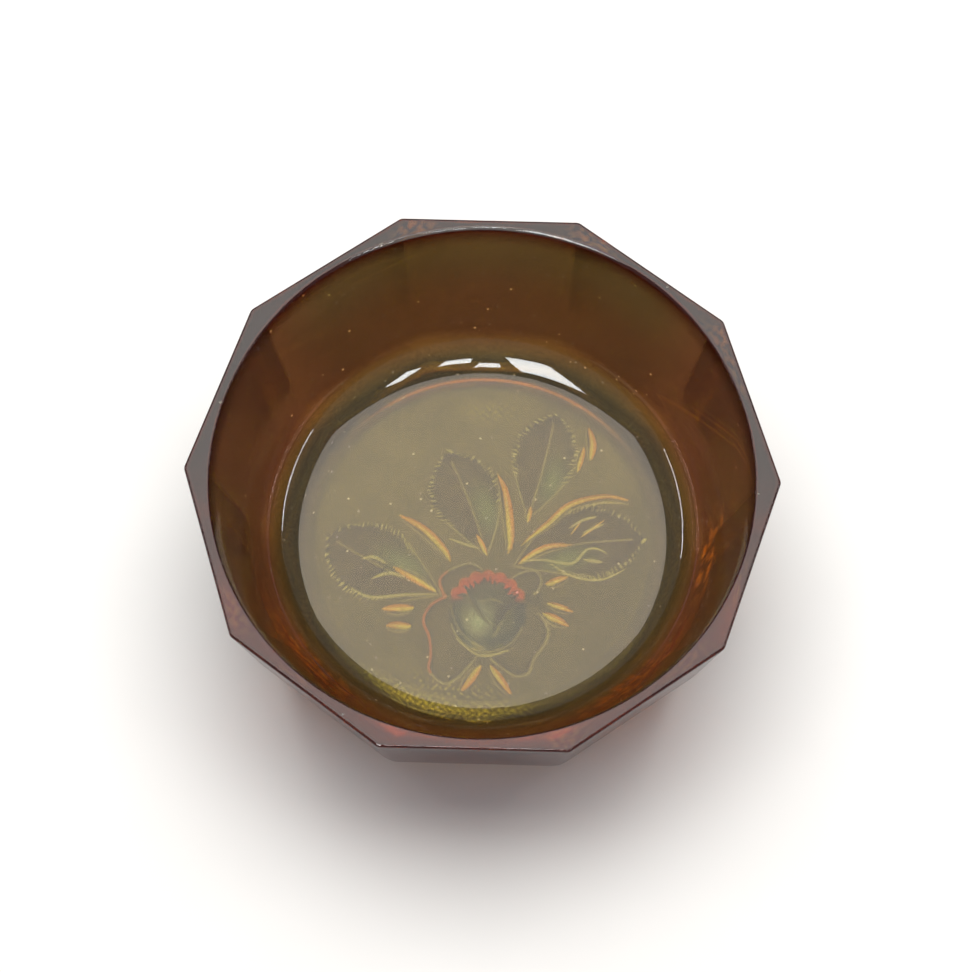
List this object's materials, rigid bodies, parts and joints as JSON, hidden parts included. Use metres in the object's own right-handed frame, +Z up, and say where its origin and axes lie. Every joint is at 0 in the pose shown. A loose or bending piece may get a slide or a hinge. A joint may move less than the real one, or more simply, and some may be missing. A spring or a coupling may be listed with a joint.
{
  "type": "pressed glass dish",
  "caption": "Small faceted dish of dark amber pressed glass, round inside, with a flat polished rim and a rose spray pressed into the underside of its floor.",
  "frame": {"origin": "centre of the foot's underside, on the surface that the dish stands on", "axes": "+Z up along the round hollow's axis, +X towards a corner of the ten-sided rim, +Y towards the middle of a flat side, with the rose spray's flower on the -Y side"},
  "size_m": [0.132, 0.1256, 0.047],
  "materials": {
    "amber_glass": "fire-polished pressed glass, dark amber"
  },
  "bodies": {
    "root": {"rim_band": "amber_glass", "facet_wall": "amber_glass", "shoulder": "amber_glass", "floor_panel": "amber_glass", "foot_ring": "amber_glass"}
  },
  "joints": []
}
